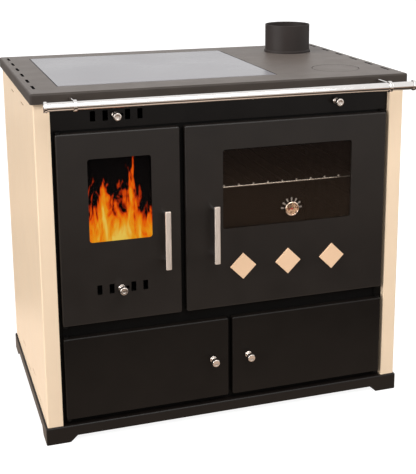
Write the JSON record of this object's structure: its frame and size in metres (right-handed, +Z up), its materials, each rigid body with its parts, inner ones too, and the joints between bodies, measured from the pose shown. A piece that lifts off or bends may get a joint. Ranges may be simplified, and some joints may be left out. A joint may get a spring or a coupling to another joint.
{
  "type": "wood cookstove",
  "caption": "Freestanding wood-burning range with glazed fire door, oven with window, storage doors, ceramic hob, towel rail and top flue collar.",
  "frame": {"origin": "on the floor, under the middle of the whole stove's outline, towel rail included", "axes": "+X to the right as seen from the front, +Y from the front to the back, +Z up"},
  "size_m": [0.926, 0.7034, 0.928],
  "materials": {
    "cream_enamel": "smooth vitreous enamel, cream, half gloss",
    "black_enamel": "black enamel, half gloss",
    "door_enamel": "warm black satin stove paint",
    "worktop_steel": "matt grey-brown heat-proof paint with a fine grain",
    "flue_steel": "matt dark grey heat-proof paint",
    "hob_ceramic": "polished glass ceramic, light grey in reflected light",
    "door_glass": "clear heat-proof glass with a dark tint",
    "chrome": "polished chrome",
    "satin_steel": "satin brushed steel",
    "inner_steel": "dull dark sheet steel",
    "oven_enamel": "dark brown oven enamel",
    "galvanised_sheet": "galvanised sheet",
    "cast_iron": "rough cast iron, dark",
    "firebrick": "pale fireclay, matt and grainy",
    "gasket_rope": "woven glass rope",
    "dial_face": "matt off-white dial with plain marks",
    "needle_paint": "red paint"
  },
  "bodies": {
    "casing": {"plinth": "black_enamel", "left_side_panel": "cream_enamel", "right_side_panel": "cream_enamel", "back_panel": "galvanised_sheet", "front_frame": "black_enamel", "control_panel": "black_enamel", "storage_box": "inner_steel", "deck_plate": "inner_steel", "worktop": "worktop_steel", "hob_glass": "hob_ceramic", "flue_collar": "flue_steel", "firebox_shell": "inner_steel", "firebrick_left": "firebrick", "firebrick_right": "firebrick", "firebrick_back": "firebrick", "fire_grate": "cast_iron", "ash_pan": "galvanised_sheet", "oven_box": "oven_enamel", "oven_rack": "chrome", "flue_box": "inner_steel", "towel_rail": "chrome", "rail_end_left": "chrome", "rail_end_right": "chrome", "rail_bracket_left": "chrome", "rail_bracket_right": "chrome", "upper_hinge_left": "cast_iron", "upper_hinge_right": "cast_iron", "middle_hinge_left": "cast_iron", "middle_hinge_right": "cast_iron", "lower_hinge_left": "cast_iron", "lower_hinge_right": "cast_iron", "fire_door_catch": "cast_iron", "oven_door_catch": "cast_iron"},
    "fire_door": {"fire_door_panel": "door_enamel", "fire_door_liner": "inner_steel", "fire_door_glass": "door_glass", "fire_door_gasket": "gasket_rope", "fire_door_handle": "satin_steel"},
    "primary_air": {"primary_air_plate": "inner_steel", "primary_air_knob": "satin_steel"},
    "secondary_air": {"secondary_air_plate": "inner_steel", "secondary_air_knob": "satin_steel"},
    "oven_door": {"oven_door_panel": "door_enamel", "oven_door_liner": "inner_steel", "oven_door_glass": "door_glass", "oven_door_gasket": "gasket_rope", "oven_door_handle": "satin_steel", "diamond_tile_1": "cream_enamel", "diamond_tile_2": "cream_enamel", "diamond_tile_3": "cream_enamel", "thermometer_case": "chrome", "thermometer_dial": "dial_face"},
    "needle": {"thermometer_needle": "needle_paint"},
    "damper": {"damper_blade": "inner_steel", "damper_knob": "satin_steel"},
    "cover": {"cleaning_cover": "worktop_steel"},
    "storage_door_left": {"lower_door_left": "door_enamel", "lower_knob_left": "satin_steel"},
    "storage_door_right": {"lower_door_right": "door_enamel", "lower_knob_right": "satin_steel"}
  },
  "joints": [
    {"name": "fire_door_hinge", "type": "hinge", "parent": "casing", "child": "fire_door", "pos_m": [-0.404, -0.25325, 0.524], "axis": [0, 0, -1], "range_deg": [0, 110]},
    {"name": "oven_door_hinge", "type": "hinge", "parent": "casing", "child": "oven_door", "pos_m": [0.404, -0.25325, 0.524], "axis": [0, 0, 1], "range_deg": [0, 110]},
    {"name": "storage_left_hinge", "type": "hinge", "parent": "casing", "child": "storage_door_left", "pos_m": [-0.404, -0.25325, 0.16], "axis": [0, 0, -1], "range_deg": [0, 110]},
    {"name": "storage_right_hinge", "type": "hinge", "parent": "casing", "child": "storage_door_right", "pos_m": [0.404, -0.25325, 0.16], "axis": [0, 0, 1], "range_deg": [0, 110]},
    {"name": "primary_air_slide", "type": "slide", "parent": "fire_door", "child": "primary_air", "axis": [1, 0, 0], "range_m": [0, 0.015]},
    {"name": "secondary_air_slide", "type": "slide", "parent": "casing", "child": "secondary_air", "axis": [1, 0, 0], "range_m": [0, 0.015]},
    {"name": "flue_damper_pull", "type": "slide", "parent": "casing", "child": "damper", "axis": [0, -1, 0], "range_m": [0, 0.06]},
    {"name": "cleaning_cover_lift", "type": "slide", "parent": "casing", "child": "cover", "axis": [0, 0, 1], "range_m": [0, 0.05]},
    {"name": "thermometer_turn", "type": "hinge", "parent": "oven_door", "child": "needle", "pos_m": [0.1595, -0.263, 0.5285], "axis": [0, 1, 0], "range_deg": [0, 180]}
  ]
}
